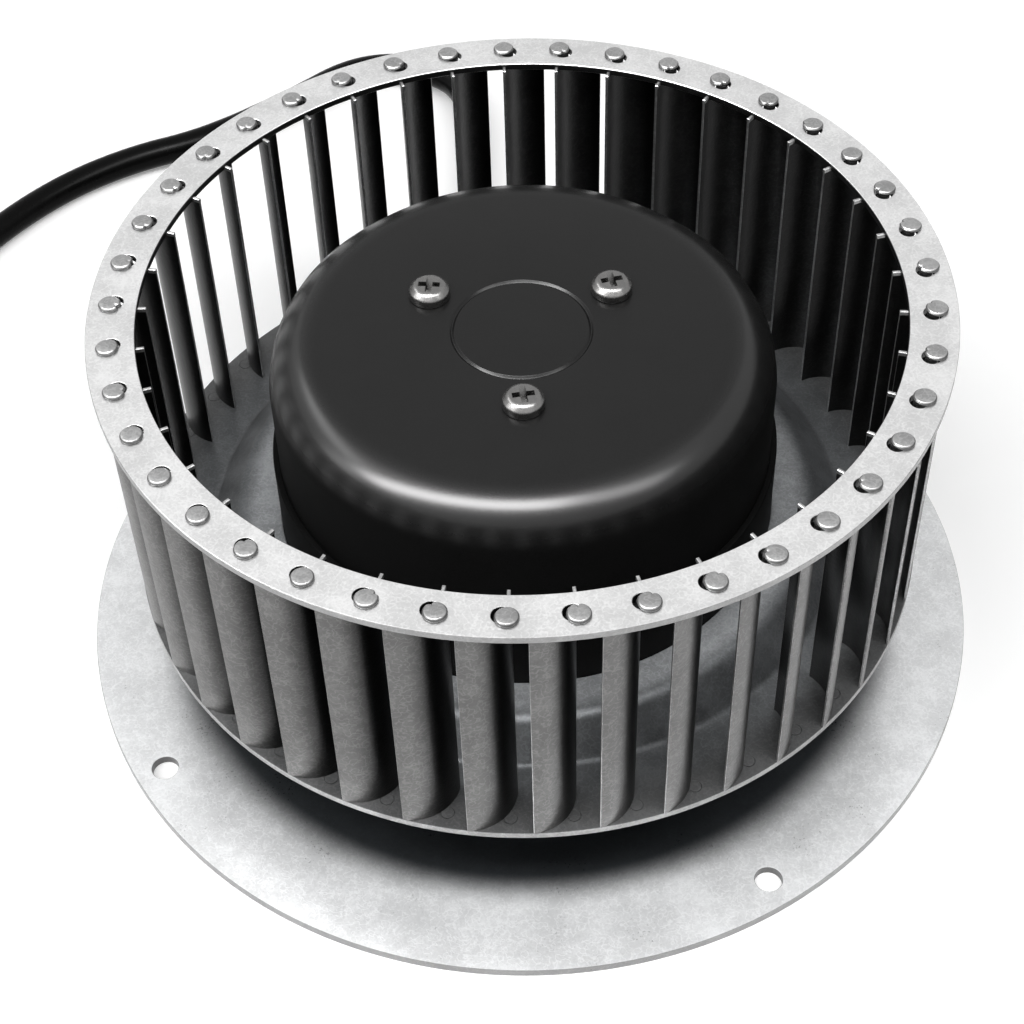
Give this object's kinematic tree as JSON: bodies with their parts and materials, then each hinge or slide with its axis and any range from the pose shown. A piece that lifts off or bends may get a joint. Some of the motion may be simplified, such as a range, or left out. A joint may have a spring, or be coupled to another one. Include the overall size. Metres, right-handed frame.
{
  "type": "centrifugal fan",
  "caption": "Forward-curved centrifugal fan wheel on an external rotor motor, with a round mounting plate and a cable.",
  "frame": {"origin": "middle of the mounting plate's underside, the face that the fan rests and mounts on", "axes": "+Z along the shaft, towards the air inlet; the cable leaves towards +Y"},
  "size_m": [0.2551, 0.2761, 0.0869],
  "materials": {
    "galvanised_plate": "galvanised sheet with a fine spangle",
    "galvanised_wheel": "galvanised sheet, satin",
    "zinc_plated_screw": "zinc-plated, satin",
    "rivet": "zinc-plated, satin",
    "cast_flange": "as cast, matt",
    "black_rubber": "matt",
    "lamination": "stacked edges, matt",
    "insulator": "matt",
    "winding": "varnished copper wire",
    "cable_jacket": "glossy black PVC",
    "wire_jacket": "satin",
    "tinned_ferrule": "tinned",
    "spring_steel": "phosphated",
    "black_rotor": "black semi-matt coat with a fine grain",
    "turned_steel": "turned",
    "cast_cage": "as cast",
    "bearing_steel": "ground and polished",
    "pressed_cage": "pressed sheet"
  },
  "bodies": {
    "base": {"mounting_plate": "galvanised_plate", "foot_screws": "zinc_plated_screw", "motor_flange": "cast_flange", "grommet": "black_rubber", "upper_bearing_outer_ring": "bearing_steel", "lower_bearing_outer_ring": "bearing_steel", "preload_washer": "spring_steel", "stator_core": "lamination", "upper_insulator": "insulator", "lower_insulator": "insulator", "upper_winding": "winding", "lower_winding": "winding", "cable": "cable_jacket", "cable_wires": "wire_jacket", "wire_ferrules": "tinned_ferrule"},
    "rotor": {"inlet_ring": "galvanised_wheel", "blades": "galvanised_wheel", "back_plate": "galvanised_wheel", "hub_rivets": "rivet", "rotor_can": "black_rotor", "rotor_sleeve": "black_rotor", "rotor_screws": "zinc_plated_screw", "rotor_spider": "turned_steel", "shaft": "turned_steel", "rotor_core": "lamination", "rotor_cage": "cast_cage", "upper_bearing_inner_ring": "bearing_steel", "lower_bearing_inner_ring": "bearing_steel", "retaining_ring": "spring_steel"},
    "upper_balls": {"upper_bearing_balls": "bearing_steel", "upper_bearing_cage": "pressed_cage"},
    "lower_balls": {"lower_bearing_balls": "bearing_steel", "lower_bearing_cage": "pressed_cage"}
  },
  "joints": [
    {"name": "rotor_spin", "type": "hinge", "parent": "base", "child": "rotor", "pos_m": [0, 0, 0.05], "axis": [0, 0, 1], "continuous": true},
    {"name": "upper_balls_spin", "type": "hinge", "parent": "base", "child": "upper_balls", "pos_m": [0, 0, 0.065], "axis": [0, 0, 1], "continuous": true},
    {"name": "lower_balls_spin", "type": "hinge", "parent": "base", "child": "lower_balls", "pos_m": [0, 0, 0.0117], "axis": [0, 0, 1], "continuous": true}
  ],
  "couplings": [
    {"joint": "upper_balls_spin", "follows": "rotor_spin", "ratio": 0.36667},
    {"joint": "lower_balls_spin", "follows": "rotor_spin", "ratio": 0.36667}
  ]
}
